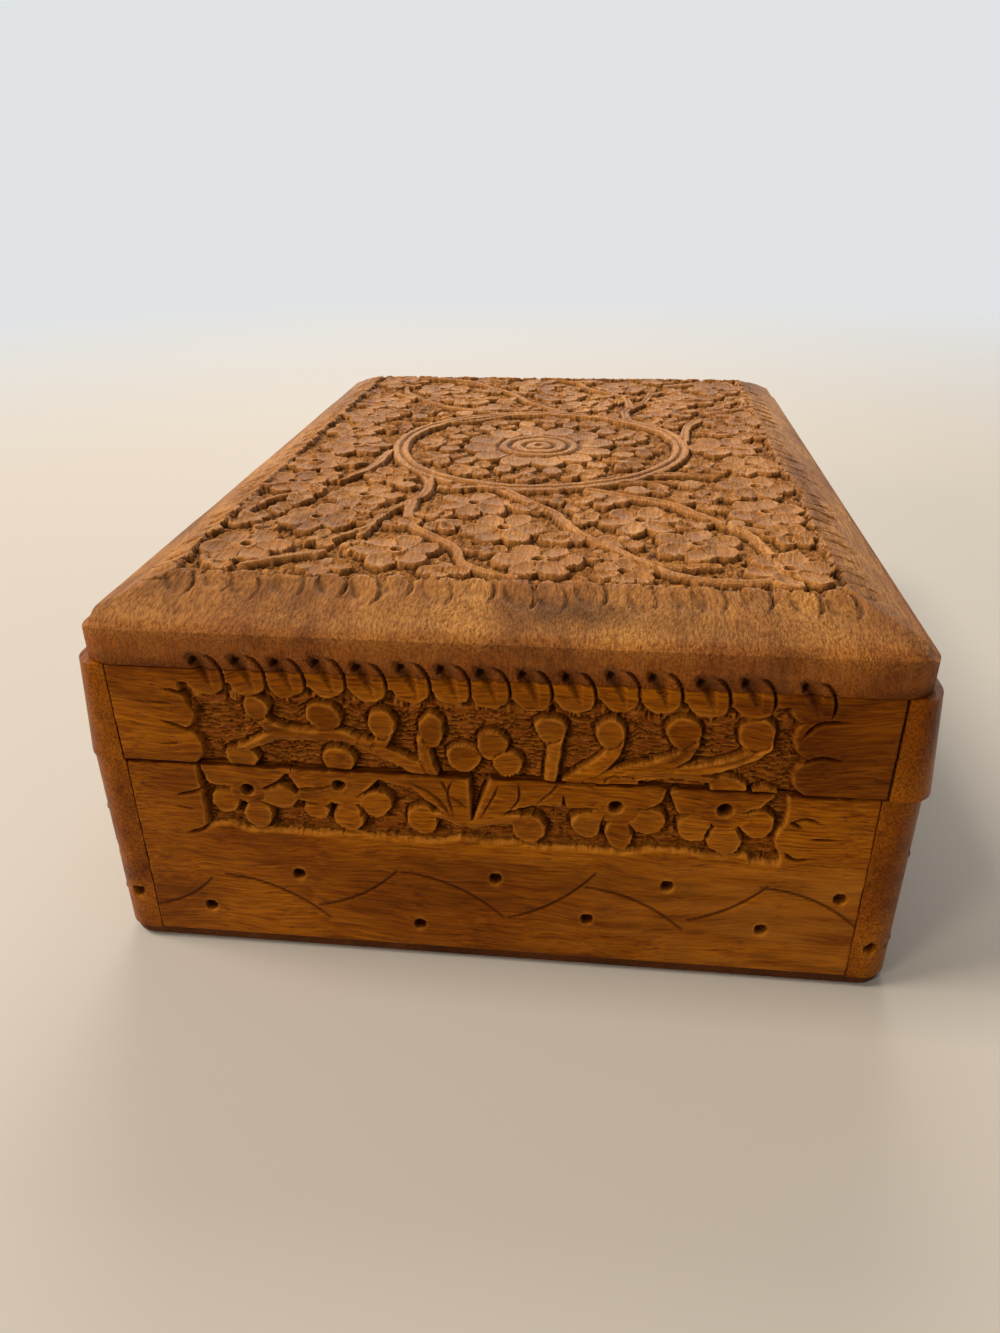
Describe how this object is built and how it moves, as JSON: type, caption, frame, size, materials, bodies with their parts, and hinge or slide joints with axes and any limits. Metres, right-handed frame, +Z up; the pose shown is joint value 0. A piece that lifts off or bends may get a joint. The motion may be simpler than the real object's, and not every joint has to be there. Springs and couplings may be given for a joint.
{
  "type": "keepsake box",
  "caption": "Hinged wooden keepsake box for small papers and trinkets, with a flower and vine relief carved over its thick bevelled lid and its walls.",
  "frame": {"origin": "middle of the underside of the bottom board, on the surface that the box stands on", "axes": "+Z up; +Y along the box, away from its near end; +X to the right-hand side, away from the hinges"},
  "size_m": [0.1527, 0.2036, 0.076],
  "materials": {
    "base_wood": "oiled hardwood, satin",
    "lid_wood": "oiled hardwood, satin",
    "top_wood": "oiled hardwood, carved and darkened",
    "bottom_wood": "dark stained, matt",
    "hinge_brass": "dulled with age",
    "iron_brads": "dull iron"
  },
  "bodies": {
    "base": {"bottom_board": "bottom_wood", "base_left_side": "base_wood", "base_right_side": "base_wood", "base_near_end": "base_wood", "base_far_end": "base_wood", "near_hinge_base_leaf": "hinge_brass", "near_hinge_pin": "hinge_brass", "near_hinge_base_screws": "hinge_brass", "far_hinge_base_leaf": "hinge_brass", "far_hinge_pin": "hinge_brass", "far_hinge_base_screws": "hinge_brass", "base_corner_brads": "iron_brads", "bottom_brads": "iron_brads"},
    "lid": {"lid_top_board": "top_wood", "lid_left_side": "lid_wood", "lid_right_side": "lid_wood", "lid_near_end": "lid_wood", "lid_far_end": "lid_wood", "near_hinge_lid_leaf": "hinge_brass", "near_hinge_lid_screws": "hinge_brass", "far_hinge_lid_leaf": "hinge_brass", "far_hinge_lid_screws": "hinge_brass", "lid_corner_brads": "iron_brads"}
  },
  "joints": [
    {"name": "lid_hinge", "type": "hinge", "parent": "base", "child": "lid", "pos_m": [-0.0743, 0, 0.04315], "axis": [0, -1, 0], "range_deg": [0, 100]}
  ]
}
